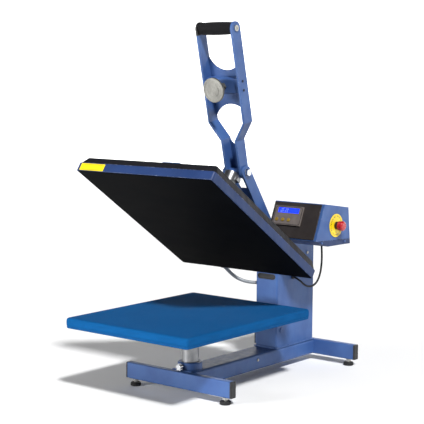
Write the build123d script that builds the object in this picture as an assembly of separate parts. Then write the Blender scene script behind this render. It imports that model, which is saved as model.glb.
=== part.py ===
"""A clamshell heat press for garments, shown open: a padded lower platen on a post, a heated
upper platen on a swinging arm, a two-bar handle with a toggle, a sheet-steel column and a
control box.  Millimetres, +Z up, +Y to the back, +X to the operator's right."""
from build123d import *
import math
import os

# ---------------------------------------------------------------- driving dimensions
PAD_WIDTH, PAD_LENGTH, PAD_TOP, PAD_THICK = 400.0, 500.0, 205.0, 27.0
POST_R, SOCKET_R, SOCKET_TOP = 22.2, 31.5, 80.0

FOOT_HALF, FOOT_DEPTH, FOOT_LOW, FOOT_HIGH = 170.5, 20.0, 18.6, 60.9
FOOT_CAP, TUBE_WALL = 5.0, 2.5
FRONT_FOOT_Y, REAR_FOOT_Y = -42.4, 517.6
LEVEL_X, LEVEL_PAD_R, LEVEL_PAD_H, LEVEL_STUD_R = 150.0, 14.0, 9.0, 4.0
SPINE_HALF, SPINE_WALL = 38.0, 3.0

COLUMN_HALF, COLUMN_FRONT, COLUMN_REAR, COLUMN_WALL = 36.35, 327.6, 505.2, 3.0
COLUMN_FLOOR, COLUMN_FRONT_TOP, COLUMN_TOP = 64.0, 279.0, 335.0

HINGE_Y, HINGE_Z, AXLE_R = 377.0, 283.0, 8.0
OPEN_ANGLE = 34.0
BOLT_Y, BOLT_Z, BOLT_R = 191.0, 557.0, 6.0
ARM_HALF, ARM_PLATE, ARM_R = 33.0, 6.0, 17.5

PLATEN_WIDTH, PLATEN_LENGTH, PRESS_GAP = 440.0, 507.0, 0.5
SKIRT_HEIGHT, SKIRT_WALL, COVER_RISE, COVER_INSET = 23.0, 2.5, 20.8, 11.4
HEATER_THICK, BOARD_THICK = 14.0, 8.0
HANGER_R, HANGER_Y, HANGER_TOP = 18.5, 53.5, 188.0

HANDLE_LEAN, HANDLE_TURN = 13.0, 57.5
BAR_WIDTH, BAR_THICK, GRIP_S = 35.0, 6.0, 383.0
NARROW_HALF, WIDE_HALF, LOW_BEND_S, HIGH_BEND_S = 26.0, 60.0, 88.0, 136.0
TROUGH_LOW, TROUGH_HIGH, TROUGH_FRONT = 213.0, 255.0, -9.0
DISC_R, DISC_THICK, DISC_FACE, DISC_S = 32.5, 6.0, -52.0, 233.0
STEM_R = 6.0

TOGGLE_Y, TOGGLE_Z, TOGGLE_R = 177.9, 525.3, 5.0
LINK_Y, LINK_Z, LINK_PIN_R, LINK_TURN = 389.6, 314.6, 6.0, 29.47
SPRING_FOOT_Y, SPRING_FOOT_Z, SPRING_ARM, SPRING_PIN_R = 350.0, 110.0, 34.0, 5.0

BOX_LEFT, BOX_RIGHT, BOX_WALL = 40.0, 199.5, 2.0
BOX_TOP_FRONT, BOX_TOP_REAR = (312.9, 474.8), (427.0, 458.2)
BOX_LOW_REAR, BOX_LOW_FRONT = (437.0, 359.0), (329.2, 360.5)
PANEL_FOOT, SEAM_REAR = (272.8, 379.3), (435.5, 372.7)
PANEL_THICK, BEZEL_THICK = 2.5, 4.0
KEY_X, KEY_S, KEY_R = (62.4, 82.0, 101.0), 50.5, 5.0
STOP_Y, STOP_Z, STOP_PLATE_R, STOP_HEAD_R = 366.0, 414.0, 31.0, 13.0

RUN_FIT, HOLE_FIT, BODY_GAP = 0.05, 0.3, 0.35
CABLE_R, CONDUIT_R = 2.75, 5.0

# The row's origin is under the middle of the outer box, on the floor.
ORIGIN = (3.0, 140.8, 0.0)


# ---------------------------------------------------------------- geometry helpers
def block(x, y, z):
    """A box between two values on each axis."""
    size = [max(v) - min(v) for v in (x, y, z)]
    middle = [(v[0] + v[1]) / 2 for v in (x, y, z)]
    return Pos(*middle) * Box(*size)


def rod_x(radius, x0, x1, y=0.0, z=0.0):
    return Pos((x0 + x1) / 2, y, z) * Rot(0, 90, 0) * Cylinder(radius, abs(x1 - x0))


def rod_y(radius, y0, y1, x=0.0, z=0.0):
    return Pos(x, (y0 + y1) / 2, z) * Rot(90, 0, 0) * Cylinder(radius, abs(y1 - y0))


def rod_z(radius, z0, z1, x=0.0, y=0.0):
    return Pos(x, y, (z0 + z1) / 2) * Cylinder(radius, abs(z1 - z0))


def hexagon_x(across, x0, x1, y, z):
    """A hexagon head or nut whose axis lies along X."""
    outline = RegularPolygon(across / math.sqrt(3), 6)
    return Pos(min(x0, x1), y, z) * Rot(0, 90, 0) * extrude(outline, abs(x1 - x0))


def profile_yz(points, x0, x1):
    """A closed outline of (y, z) points, extruded from x0 to x1."""
    face = Plane.YZ.offset(x0) * make_face(Polyline(*points, close=True))
    return extrude(face, x1 - x0)


def lozenge(a, b, radius_a, radius_b, x0, x1):
    """A flat link with round ends: the outline around two circles in the YZ plane."""
    dy, dz = b[0] - a[0], b[1] - a[1]
    span = math.hypot(dy, dz)
    turn = math.atan2(dz, dy)
    tangent = math.acos((radius_a - radius_b) / span)
    corners = []
    for sign in (1, -1):
        angle = turn + sign * tangent
        for (y, z), radius in ((a, radius_a), (b, radius_b))[::sign]:
            corners.append((y + radius * math.cos(angle), z + radius * math.sin(angle)))
    body = profile_yz(corners, x0, x1)
    body += rod_x(radius_a, x0, x1, *a)
    body += rod_x(radius_b, x0, x1, *b)
    return body


def turned(point, centre, degrees):
    """A (y, z) point turned about another, positive by the right-hand rule about +X."""
    c, s = math.cos(math.radians(degrees)), math.sin(math.radians(degrees))
    y, z = point[0] - centre[0], point[1] - centre[1]
    return (centre[0] + c * y - s * z, centre[1] + s * y + c * z)


def about(shape, centre, degrees):
    """A shape turned about an X axis through a (y, z) point."""
    return shape.rotate(Axis((0, *centre), (1, 0, 0)), degrees)


def mirrored_pair(shape):
    """A piece and its twin on the other side of the machine."""
    return [shape, shape.mirror(Plane.YZ)]


HINGE, BOLT = (HINGE_Y, HINGE_Z), (BOLT_Y, BOLT_Z)
BOLT_SHUT = turned(BOLT, HINGE, OPEN_ANGLE)
PLATEN_FACE = PAD_TOP + PRESS_GAP
COVER_BASE = PLATEN_FACE + SKIRT_HEIGHT
COVER_TOP = COVER_BASE + COVER_RISE


def opened(shape):
    """Pieces of the arm and upper platen are drawn shut, then swung open about the hinge."""
    return about(shape, HINGE, -OPEN_ANGLE)


def on_handle(shape):
    """Handle pieces are drawn upright with the pivot bolt at their origin."""
    return Pos(0, *BOLT) * Rot(HANDLE_LEAN, 0, 0) * shape


def handle_point(y, s):
    """The (y, z) place of a point of the handle: y behind its middle, s along it."""
    lean = math.radians(HANDLE_LEAN)
    return (BOLT_Y + y * math.cos(lean) - s * math.sin(lean),
            BOLT_Z + y * math.sin(lean) + s * math.cos(lean))


# ---------------------------------------------------------------- base frame
def cross_foot(y):
    """A rectangular tube across the machine, with two threaded holes in its underside."""
    depth = (y - FOOT_DEPTH / 2, y + FOOT_DEPTH / 2)
    tube = block((-FOOT_HALF, FOOT_HALF), depth, (FOOT_LOW, FOOT_HIGH))
    tube = fillet(tube.edges().filter_by(Axis.X), 3.0)
    inner = (y - FOOT_DEPTH / 2 + TUBE_WALL, y + FOOT_DEPTH / 2 - TUBE_WALL)
    tube -= block((-FOOT_HALF - 1, FOOT_HALF + 1), inner, (FOOT_LOW + TUBE_WALL, FOOT_HIGH - TUBE_WALL))
    for x in (-LEVEL_X, LEVEL_X):
        tube -= rod_z(LEVEL_STUD_R + RUN_FIT, FOOT_LOW - 1, FOOT_LOW + TUBE_WALL + 1, x, y)
    return tube


def foot_end_caps():
    """Moulded plugs that close the four ends of the cross feet."""
    caps = []
    for y in (FRONT_FOOT_Y, REAR_FOOT_Y):
        depth = (y - FOOT_DEPTH / 2, y + FOOT_DEPTH / 2)
        cap = block((FOOT_HALF, FOOT_HALF + FOOT_CAP), depth, (FOOT_LOW, FOOT_HIGH))
        cap = fillet(cap.edges().filter_by(Axis.X), 3.0)
        cap = fillet(cap.faces().sort_by(Axis.X)[-1].edges(), 1.5)
        inner = (y - FOOT_DEPTH / 2 + TUBE_WALL, y + FOOT_DEPTH / 2 - TUBE_WALL)
        cap += block((FOOT_HALF - 10, FOOT_HALF), inner, (FOOT_LOW + TUBE_WALL, FOOT_HIGH - TUBE_WALL))
        caps += mirrored_pair(cap)
    return Compound(caps)


def levelling_foot(x, y):
    """A rubber foot on a threaded stud, with the nut that locks it under the tube."""
    pad = rod_z(LEVEL_PAD_R, 0, LEVEL_PAD_H, x, y)
    pad = chamfer(pad.edges().filter_by(GeomType.CIRCLE), 1.5)
    stud = rod_z(LEVEL_STUD_R, LEVEL_PAD_H, FOOT_LOW + 14, x, y)
    nut = Pos(x, y, LEVEL_PAD_H + 3) * extrude(RegularPolygon(13 / math.sqrt(3), 6), 5.5)
    return Compound([pad, stud + nut])


def spine_tube():
    """The rectangular tube that joins the two cross feet and carries the socket and column."""
    ends = (FRONT_FOOT_Y + FOOT_DEPTH / 2, REAR_FOOT_Y - FOOT_DEPTH / 2)
    tube = block((-SPINE_HALF, SPINE_HALF), ends, (FOOT_LOW, FOOT_HIGH))
    tube = fillet(tube.edges().filter_by(Axis.Y), 7.0)
    inner = block((-SPINE_HALF + SPINE_WALL, SPINE_HALF - SPINE_WALL), (ends[0] - 1, ends[1] + 1),
                  (FOOT_LOW + SPINE_WALL, FOOT_HIGH - SPINE_WALL))
    inner = fillet(inner.edges().filter_by(Axis.Y), 4.0)
    return tube - inner - rod_z(POST_R + 1, FOOT_HIGH - 5, FOOT_HIGH + 1)


def post_socket():
    """The split clamp ring on the spine that holds the post of the lower platen."""
    ring = rod_z(SOCKET_R, FOOT_HIGH, SOCKET_TOP)
    ring = chamfer(ring.edges().filter_by(GeomType.CIRCLE).sort_by(Axis.Z)[-1], 2.0)
    ring -= rod_z(POST_R + RUN_FIT, FOOT_HIGH - 1, SOCKET_TOP + 1)
    ring -= block((-1.5, 1.5), (POST_R - 2, SOCKET_R + 2), (FOOT_HIGH - 1, SOCKET_TOP + 1))
    return ring - rod_y(4.0 + RUN_FIT, -SOCKET_R - 2, -POST_R + 3, z=CLAMP_Z)


CLAMP_Z, CLAMP_HEAD_R = 71.0, 9.5


def clamp_screw():
    """A chromed lobed screw that pinches the post in its socket."""
    stud = rod_y(4.0, -SOCKET_R - 5, -POST_R - 0.4, z=CLAMP_Z)
    head = rod_y(CLAMP_HEAD_R - 2.5, -SOCKET_R - 15, -SOCKET_R - 3, z=CLAMP_Z)
    for n in range(5):
        angle = math.radians(90 + 72 * n)
        reach = CLAMP_HEAD_R - 3.2
        head += rod_y(3.2, -SOCKET_R - 14, -SOCKET_R - 6,
                      x=reach * math.cos(angle), z=CLAMP_Z + reach * math.sin(angle))
    return stud + head


# ---------------------------------------------------------------- lower platen
def pad_post():
    """The round aluminium post that stands in the socket."""
    post = rod_z(POST_R, FOOT_LOW + SPINE_WALL + 3, PAD_TOP - PAD_THICK - 6)
    return chamfer(post.edges().filter_by(GeomType.CIRCLE).sort_by(Axis.Z)[0], 2.0)


def pad_plate():
    """The steel base board of the lower platen with its flange, welded to the post's top."""
    low = PAD_TOP - PAD_THICK
    board = block((-PAD_WIDTH / 2 + 6, PAD_WIDTH / 2 - 6), (-PAD_LENGTH / 2 + 6, PAD_LENGTH / 2 - 6),
                  (low, low + 5))
    board = fillet(board.edges().filter_by(Axis.Z), 12.0)
    return board + rod_z(48, low - 6, low)


def pad_cover():
    """The soft blue pad: silicone foam in a sewn cover, wrapped over the base board."""
    low = PAD_TOP - PAD_THICK
    pad = block((-PAD_WIDTH / 2, PAD_WIDTH / 2), (-PAD_LENGTH / 2, PAD_LENGTH / 2), (low, PAD_TOP))
    pad = fillet(pad.edges().filter_by(Axis.Z), 8.0)
    pad = fillet(pad.faces().sort_by(Axis.Z)[-1].edges(), 4.0)
    board = block((-PAD_WIDTH / 2 + 6, PAD_WIDTH / 2 - 6), (-PAD_LENGTH / 2 + 6, PAD_LENGTH / 2 - 6),
                  (low - 1, low + 5))
    return pad - fillet(board.edges().filter_by(Axis.Z), 12.0)


# ---------------------------------------------------------------- column
COLUMN_SIDE = [(COLUMN_FRONT, COLUMN_FLOOR), (COLUMN_REAR, COLUMN_FLOOR), (COLUMN_REAR, COLUMN_TOP),
               (COLUMN_FRONT + 28, COLUMN_TOP), (COLUMN_FRONT, COLUMN_FRONT_TOP)]


def column_shell():
    """The folded sheet column, open at the top front where the arm swings."""
    shell = profile_yz(COLUMN_SIDE, -COLUMN_HALF, COLUMN_HALF)
    uprights = shell.edges().filter_by(Axis.Z).group_by(Axis.Y)
    shell = fillet(uprights[0] + uprights[-1], 5.0)
    inner = (COLUMN_FRONT + COLUMN_WALL, COLUMN_REAR - COLUMN_WALL)
    side = (-COLUMN_HALF + COLUMN_WALL, COLUMN_HALF - COLUMN_WALL)
    shell -= block(side, inner, (COLUMN_FLOOR - 1, COLUMN_TOP - COLUMN_WALL))
    shell -= block(side, (COLUMN_FRONT + COLUMN_WALL, 412), (COLUMN_TOP - 10, COLUMN_TOP + 1))
    shell -= block(side, (COLUMN_FRONT - 1, COLUMN_FRONT + 60), (COLUMN_FRONT_TOP, COLUMN_TOP + 1))
    shell += block((-SPINE_HALF, SPINE_HALF), (COLUMN_FRONT - 4, COLUMN_REAR + 2),
                   (FOOT_HIGH, COLUMN_FLOOR))
    for radius, centre in ((AXLE_R, HINGE), (LINK_PIN_R, (LINK_Y, LINK_Z)),
                           (SPRING_PIN_R, (SPRING_FOOT_Y, SPRING_FOOT_Z))):
        shell -= rod_x(radius, -COLUMN_HALF - 1, COLUMN_HALF + 1, *centre)
    return shell - slot_outline(COLUMN_FRONT - 1, COLUMN_FRONT + 4, SLOT_HALF, SLOT_R)


SLOT_HALF, SLOT_R, SLOT_Z = 30.0, 7.5, 260.5


def slot_outline(y0, y1, half, radius):
    """A long hole with round ends in the column's front."""
    flat = half - radius
    slot = block((-flat, flat), (y0, y1), (SLOT_Z - radius, SLOT_Z + radius))
    for x in (-flat, flat):
        slot += rod_y(radius, y0, y1, x, SLOT_Z)
    return slot


def slot_insert():
    """A black moulded tray pressed into the slot in the column's front."""
    tray = slot_outline(COLUMN_FRONT - 0.8, COLUMN_FRONT + 4, SLOT_HALF, SLOT_R)
    return tray - slot_outline(COLUMN_FRONT - 2, COLUMN_FRONT + 2.5, SLOT_HALF - 2, SLOT_R - 2)


def hinge_pins():
    """The arm's axle and the fixed pins of the toggle link and gas spring, headed at both ends."""
    pins = []
    for radius, head, high, centre in ((AXLE_R, 12.0, 2.8, HINGE),
                                       (LINK_PIN_R, 8.5, 2.0, (LINK_Y, LINK_Z)),
                                       (SPRING_PIN_R, 7.5, 2.0, (SPRING_FOOT_Y, SPRING_FOOT_Z))):
        pin = rod_x(radius, -COLUMN_HALF, COLUMN_HALF, *centre)
        for side in (1, -1):
            pin += rod_x(head, side * COLUMN_HALF, side * (COLUMN_HALF + high), *centre)
        pins.append(pin)
    return Compound(pins)


BRACKET_SCREWS = ((465.0, 316.0), (428.0, 316.0))
EARTH_SCREW = (240.0, 46.0)


def box_bracket():
    """The flat bracket that carries the control box on the column's right side."""
    plate = profile_yz([(412, 299), (486, 299), (486, 345), (431, 395), (431, 440), (392, 440), (392, 345)],
                       COLUMN_HALF, BOX_LEFT)
    return plate


def frame_screws():
    """Screws: two in the bracket, the earth screw on the spine, and the control box's two."""
    heads = box_screws()
    for x, (y, z) in [(BOX_LEFT, p) for p in BRACKET_SCREWS] + [(SPINE_HALF, EARTH_SCREW)]:
        head = rod_x(4.0, x, x + 2.6, y, z)
        heads.append(fillet(head.edges().filter_by(GeomType.CIRCLE).sort_by(Axis.X)[-1], 1.5))
    return Compound(heads)


# ---------------------------------------------------------------- arm and upper platen
def spring_eye():
    """The pin of the gas spring on the arm, in the shut position."""
    return turned((HINGE_Y - SPRING_ARM, HINGE_Z), HINGE, OPEN_ANGLE)


def arm_plates():
    """The two side plates of the arm, from the hinge to the handle's pivot bolt."""
    inner = ARM_HALF - ARM_PLATE
    plate = lozenge(HINGE, BOLT_SHUT, ARM_R, ARM_R, inner, ARM_HALF)
    plate += lozenge(HINGE, spring_eye(), ARM_R, 9.0, inner, ARM_HALF)
    plate -= rod_x(AXLE_R + 3, inner - 1, ARM_HALF + 1, *HINGE)
    plate -= rod_x(BOLT_R, inner - 1, ARM_HALF + 1, *BOLT_SHUT)
    plate -= rod_x(SPRING_PIN_R, inner - 1, ARM_HALF + 1, *spring_eye())
    return Compound([opened(p) for p in mirrored_pair(plate)])


def arm_web():
    """The plate on the lower edge of the arm's sides, slotted for the link, and the spring's pin."""
    inner = ARM_HALF - ARM_PLATE
    dy, dz = BOLT_SHUT[0] - HINGE_Y, BOLT_SHUT[1] - HINGE_Z
    along = math.degrees(math.atan2(dz, dy))
    web = block((-inner, inner), (46, 290), (ARM_R - 4, ARM_R))
    web -= block((-8, 8), (140, 291), (ARM_R - 5, ARM_R + 1))
    web = Pos(0, *HINGE) * Rot(along, 0, 0) * web
    pin = rod_x(SPRING_PIN_R, -ARM_HALF, ARM_HALF, *spring_eye())
    return Compound([opened(web), opened(pin)])


def hinge_bushes():
    """Bronze bushes of the arm on its axle."""
    inner = ARM_HALF - ARM_PLATE
    bush = rod_x(AXLE_R + 3, inner - 1.5, ARM_HALF, *HINGE)
    bush -= rod_x(AXLE_R + RUN_FIT, inner - 3, ARM_HALF + 1, *HINGE)
    return Compound([opened(b) for b in mirrored_pair(bush)])


def pivot_bolt():
    """The hexagon bolt and nut on which the handle turns in the arm's end."""
    bolt = rod_x(BOLT_R, -ARM_HALF - 10, ARM_HALF, *BOLT)
    bolt += rod_x(10.0, ARM_HALF, ARM_HALF + 1.5, *BOLT)
    bolt += hexagon_x(17.0, ARM_HALF + 1.5, ARM_HALF + 8.0, *BOLT)
    nut = rod_x(10.0, -ARM_HALF - 1.5, -ARM_HALF, *BOLT)
    nut += hexagon_x(17.0, -ARM_HALF - 9.0, -ARM_HALF - 1.5, *BOLT)
    nut -= rod_x(BOLT_R, -ARM_HALF - 12, -ARM_HALF + 1, *BOLT)
    return Compound([bolt, nut])


def hanger_post():
    """The aluminium post from the arm's end to the heater, milled flat for the toggle, with the
    two spacers that key it to the arm's plates."""
    post = rod_z(HANGER_R, PLATEN_FACE + HEATER_THICK, PLATEN_FACE + HANGER_TOP, y=HANGER_Y)
    post = chamfer(post.edges().filter_by(GeomType.CIRCLE).sort_by(Axis.Z)[-1], 1.5)
    post -= block((-HANGER_R - 1, HANGER_R + 1), (HANGER_Y + 8, HANGER_Y + 30),
                  (PLATEN_FACE + 146, PLATEN_FACE + HANGER_TOP + 1))
    inner = ARM_HALF - ARM_PLATE
    spacer = block((15, inner), (HANGER_Y - 3, HANGER_Y + 12), (PLATEN_FACE + 165, PLATEN_FACE + 175))
    spacer -= rod_z(HANGER_R, PLATEN_FACE + 160, PLATEN_FACE + 185, y=HANGER_Y)
    return Compound([opened(s) for s in [post] + mirrored_pair(spacer)])


def platen_rectangle(inset, z0, z1, radius):
    half_x, half_y = PLATEN_WIDTH / 2 - inset, PLATEN_LENGTH / 2 - inset
    slab = block((-half_x, half_x), (-half_y, half_y), (z0, z1))
    return fillet(slab.edges().filter_by(Axis.Z), radius)


def heating_plate():
    """The cast aluminium heater with its black non-stick face."""
    return opened(platen_rectangle(SKIRT_WALL + 0.5, PLATEN_FACE, PLATEN_FACE + HEATER_THICK, 3.5))


def insulation_board():
    """Mineral board between the heater and the cover."""
    low = PLATEN_FACE + HEATER_THICK
    board = platen_rectangle(SKIRT_WALL + 4, low, low + BOARD_THICK, 3.0)
    return opened(board - rod_z(HANGER_R + 1, low - 1, low + BOARD_THICK + 1, y=HANGER_Y))


def platen_skirt():
    """The painted sheet rim around the heater."""
    skirt = platen_rectangle(0, PLATEN_FACE + 1, COVER_BASE, 6.0)
    skirt -= platen_rectangle(SKIRT_WALL, PLATEN_FACE, COVER_BASE + 1, 3.5)
    return opened(skirt)


def tapered_slab(inset, z0, rise, radius):
    half_x, half_y = PLATEN_WIDTH - 2 * inset, PLATEN_LENGTH - 2 * inset
    taper = math.degrees(math.atan2(COVER_INSET, COVER_RISE))
    return Pos(0, 0, z0) * extrude(RectangleRounded(half_x, half_y, radius), rise, taper=taper)


def top_cover():
    """The charcoal cover with bevelled edges that closes the platen from above."""
    cover = tapered_slab(0, COVER_BASE, COVER_RISE, 14.0)
    cover -= tapered_slab(SKIRT_WALL + 1, COVER_BASE - 0.01, COVER_RISE - 2.0, 12.0)
    cover -= rod_z(HANGER_R + 0.5, COVER_BASE, COVER_TOP + 1, y=HANGER_Y)
    return opened(cover)


COVER_SCREWS = [(x, y) for x in (-185.0, 185.0) for y in (-215.0, 0.0, 215.0)]


def cover_screws():
    """Six button-head screws that hold the cover down."""
    heads = []
    for x, y in COVER_SCREWS:
        head = rod_z(4.5, COVER_TOP, COVER_TOP + 2.4, x, y)
        heads.append(opened(fillet(head.edges().filter_by(GeomType.CIRCLE).sort_by(Axis.Z)[-1], 1.4)))
    return Compound(heads)


# The catch: the disc on the handle meets a holding magnet on the platen when the press is shut.
TOTAL_TURN = OPEN_ANGLE + HANDLE_TURN
DISC_OPEN = handle_point(DISC_FACE, DISC_S)
DISC_SHUT = turned(turned(DISC_OPEN, BOLT, HANDLE_TURN), HINGE, OPEN_ANGLE)
CATCH_TILT = HANDLE_LEAN + TOTAL_TURN - 90.0
CATCH_HALF, CATCH_WALL, MAGNET_R, MAGNET_DEEP = 30.5, 3.0, 24.0, 27.0


def on_catch(shape):
    """Catch pieces are drawn with the magnet's face centre as origin and its axis up."""
    return Pos(0, *DISC_SHUT) * Rot(CATCH_TILT, 0, 0) * Pos(0, 0, -0.4) * shape


def magnet_bracket():
    """The folded bracket that stands on the cover and holds the magnet."""
    outer = block((-CATCH_HALF, CATCH_HALF), (-CATCH_HALF, CATCH_HALF), (-80, 0))
    outer = fillet(outer.edges().filter_by(Axis.Y).group_by(Axis.Z)[-1], 4.0)
    inner = block((-CATCH_HALF + CATCH_WALL, CATCH_HALF - CATCH_WALL), (-60, 60), (-90, -CATCH_WALL))
    bracket = on_catch(outer - inner - rod_z(MAGNET_R, -10, 1))
    below = block((-80, 80), (-260, 20), (COVER_TOP - 120, COVER_TOP))
    return opened(bracket - below)


def holding_magnet():
    """The round pot magnet, flush with the bracket's top: a steel pot, a ring and a core."""
    pot = rod_z(MAGNET_R, -MAGNET_DEEP, 0)
    pot -= rod_z(MAGNET_R - 4, -1.2, 1) - rod_z(9, -2, 2)
    return opened(on_catch(pot))


# ---------------------------------------------------------------- handle
def handle_bar(side):
    """One flat bar of the handle, cranked outwards above the pivot and round at both ends."""
    shift = BAR_THICK * math.tan(math.atan2(WIDE_HALF - NARROW_HALF, HIGH_BEND_S - LOW_BEND_S) / 2)
    end_low, end_high = -BAR_WIDTH, GRIP_S + BAR_WIDTH
    outer = [(NARROW_HALF, end_low), (NARROW_HALF, LOW_BEND_S), (WIDE_HALF, HIGH_BEND_S), (WIDE_HALF, end_high)]
    inner = [(x - BAR_THICK, s + (shift if end_low < s < end_high else 0)) for x, s in reversed(outer)]
    front = Plane.XZ.offset(BAR_WIDTH) * make_face(Polyline(*outer, *inner, close=True))
    strip = extrude(front, -2 * BAR_WIDTH)
    side_view = lozenge((0, 0), (0, GRIP_S), BAR_WIDTH / 2, BAR_WIDTH / 2, 0, 2 * WIDE_HALF)
    bar = strip & side_view
    bar -= rod_x(BOLT_R + RUN_FIT, 0, 2 * WIDE_HALF)
    bar -= rod_x(GRIP_ROD_R, 0, 2 * WIDE_HALF, z=GRIP_S)
    bar = bar if side > 0 else bar.mirror(Plane.YZ)
    return on_handle(bar)


GRIP_ROD_R, GRIP_R, GRIP_END_R = 6.0, 17.0, 15.5
PLATE_REAR, PLATE_THICK = BAR_WIDTH / 2, 4.0


def arched(half, low, high, low_rise, high_rise):
    """A plate across the handle whose ends are circular arcs; the rises may be of either sign."""
    mid_low, mid_high = low + low_rise, high + high_rise
    outline = [Line((half, low), (half, high)), Line((-half, high), (-half, low)),
               ThreePointArc((half, high), (0, mid_high), (-half, high)),
               ThreePointArc((-half, low), (0, mid_low), (half, low))]
    face = Plane.XZ.offset(-PLATE_REAR) * make_face(outline)
    return extrude(face, PLATE_THICK)


def cross_plate():
    """The plate between the bars, hollowed by an arc above and an arch below."""
    return on_handle(arched(WIDE_HALF - BAR_THICK, 150, 307, 31, -36))


def handle_web():
    """The narrow plate that joins the bars behind the pivot, with a hollowed top."""
    return on_handle(arched(NARROW_HALF - BAR_THICK, 2, 88, 0.5, -17))


def cross_trough():
    """The folded channel in front of the cross plate that holds the disc's stem."""
    half = WIDE_HALF - BAR_THICK
    rear = PLATE_REAR - PLATE_THICK
    trough = block((-half, half), (TROUGH_FRONT, rear), (TROUGH_LOW, TROUGH_HIGH))
    trough = fillet(trough.edges().filter_by(Axis.X).group_by(Axis.Y)[0], 4.0)
    hollow = block((-half - 1, half + 1), (TROUGH_FRONT + 3, rear + 1), (TROUGH_LOW + 3, TROUGH_HIGH - 3))
    trough -= hollow
    nut = block((-13, 13), (TROUGH_FRONT + 3, TROUGH_FRONT + 15), (DISC_S - 12, DISC_S + 12))
    hole = rod_y(STEM_R + RUN_FIT, TROUGH_FRONT - 1, TROUGH_FRONT + 16, z=DISC_S)
    return on_handle(Compound([trough - hole, nut - hole]))


def grip_rod():
    """The steel rod through the top of both bars."""
    return on_handle(rod_x(GRIP_ROD_R, -WIDE_HALF, WIDE_HALF, z=GRIP_S))


def grip_foam():
    """The black barrel grip on the rod."""
    half = WIDE_HALF - BAR_THICK
    outline = [Line((-half, GRIP_ROD_R), (half, GRIP_ROD_R)), Line((half, GRIP_ROD_R), (half, GRIP_END_R)),
               ThreePointArc((half, GRIP_END_R), (0, GRIP_R), (-half, GRIP_END_R)),
               Line((-half, GRIP_END_R), (-half, GRIP_ROD_R))]
    barrel = revolve(make_face(outline), Axis.X)
    return on_handle(Pos(0, 0, GRIP_S) * barrel)


TROUGH_SCREWS = ((-2.0, 222.3), (-2.0, 246.0))


def handle_screws():
    """Socket screws in the bars' outer faces: the grip's two and the trough's four."""
    screws = []
    for y, s, radius, high in [(0.0, GRIP_S, 8.0, 3.0)] + [(y, s, 3.5, 1.2) for y, s in TROUGH_SCREWS]:
        head = rod_x(radius, WIDE_HALF, WIDE_HALF + high, y, s)
        head -= rod_x(radius * 0.4, WIDE_HALF + high / 2, WIDE_HALF + high + 1, y, s)
        screws += [on_handle(piece) for piece in mirrored_pair(head)]
    return Compound(screws)


def toggle_foot():
    """A sleeve on the pivot bolt, fixed between the bars, with two lugs for the toggle link."""
    inner = NARROW_HALF - BAR_THICK
    foot = rod_x(10.0, -inner, inner, *BOLT)
    for x0, x1 in ((6.0, 10.0), (-10.0, -6.0)):
        foot += lozenge(BOLT, (TOGGLE_Y, TOGGLE_Z), 10.0, 9.0, x0, x1)
    foot -= rod_x(BOLT_R + RUN_FIT, -inner - 1, inner + 1, *BOLT)
    return foot + rod_x(TOGGLE_R, -10, 10, TOGGLE_Y, TOGGLE_Z)


def catch_disc():
    """The turned steel disc that the magnet holds, on a stem that screws through the trough."""
    disc = rod_y(DISC_R, DISC_FACE, DISC_FACE + DISC_THICK, z=DISC_S)
    disc = chamfer(disc.edges().filter_by(GeomType.CIRCLE), 0.8)
    disc -= rod_y(DISC_R - 5, DISC_FACE - 1, DISC_FACE + 0.8, z=DISC_S) - rod_y(
        17, DISC_FACE - 2, DISC_FACE + 2, z=DISC_S)
    disc += rod_y(13.0, DISC_FACE + DISC_THICK, DISC_FACE + DISC_THICK + 6, z=DISC_S)
    disc += rod_y(STEM_R, DISC_FACE + DISC_THICK, TROUGH_FRONT + 17, z=DISC_S)
    nut = extrude(RegularPolygon(19 / math.sqrt(3), 6), 6)
    return on_handle(disc + Pos(0, TROUGH_FRONT - 0.4, DISC_S) * Rot(90, 0, 0) * nut)


# ---------------------------------------------------------------- toggle link and gas spring
PIN_WANDER = 4.0


def toggle_link():
    """The bar from the column's pin to the handle's foot; its upper eye has room to wander."""
    span = math.dist((TOGGLE_Y, TOGGLE_Z), (LINK_Y, LINK_Z))
    slope = math.degrees(math.atan2(TOGGLE_Z - LINK_Z, TOGGLE_Y - LINK_Y))
    eye = (span - PIN_WANDER / 2, PIN_WANDER / 2)
    room = TOGGLE_R + math.hypot(PIN_WANDER, PIN_WANDER) / 2 + 0.6
    link = lozenge((0, 0), eye, 13.0, room + 4.4, -5, 5)
    link -= rod_x(LINK_PIN_R + RUN_FIT, -6, 6)
    link -= rod_x(room, -6, 6, *eye)
    return Pos(0, LINK_Y, LINK_Z) * Rot(slope, 0, 0) * link


SPRING_TOP = (HINGE_Y - SPRING_ARM, HINGE_Z)
SPRING_SPAN = math.dist((SPRING_FOOT_Y, SPRING_FOOT_Z), SPRING_TOP)
SPRING_SLOPE = math.degrees(math.atan2(SPRING_FOOT_Y - SPRING_TOP[0], SPRING_TOP[1] - SPRING_FOOT_Z))


def on_spring(shape):
    """Gas spring pieces are drawn upright with the lower pin as origin."""
    return Pos(0, SPRING_FOOT_Y, SPRING_FOOT_Z) * Rot(SPRING_SLOPE, 0, 0) * shape


def gas_spring_tube():
    """The cylinder of the gas spring, with its lower eye."""
    tube = rod_z(11.0, 14, 122)
    tube = fillet(tube.edges().filter_by(GeomType.CIRCLE), 2.0)
    eye = rod_x(10.0, -7, 7) + block((-7, 7), (-6, 6), (0, 16))
    tube = tube + eye - rod_x(SPRING_PIN_R + RUN_FIT, -8, 8)
    return on_spring(tube - rod_z(5.0 + RUN_FIT, 60, 125))


def gas_spring_rod():
    """The polished rod of the gas spring, with its upper eye."""
    rod = rod_z(5.0, 84, SPRING_SPAN - 6)
    rod += rod_x(9.0, -7, 7, z=SPRING_SPAN)
    return on_spring(rod - rod_x(SPRING_PIN_R + 1.1, -8, 8, y=-0.75, z=SPRING_SPAN))


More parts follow.
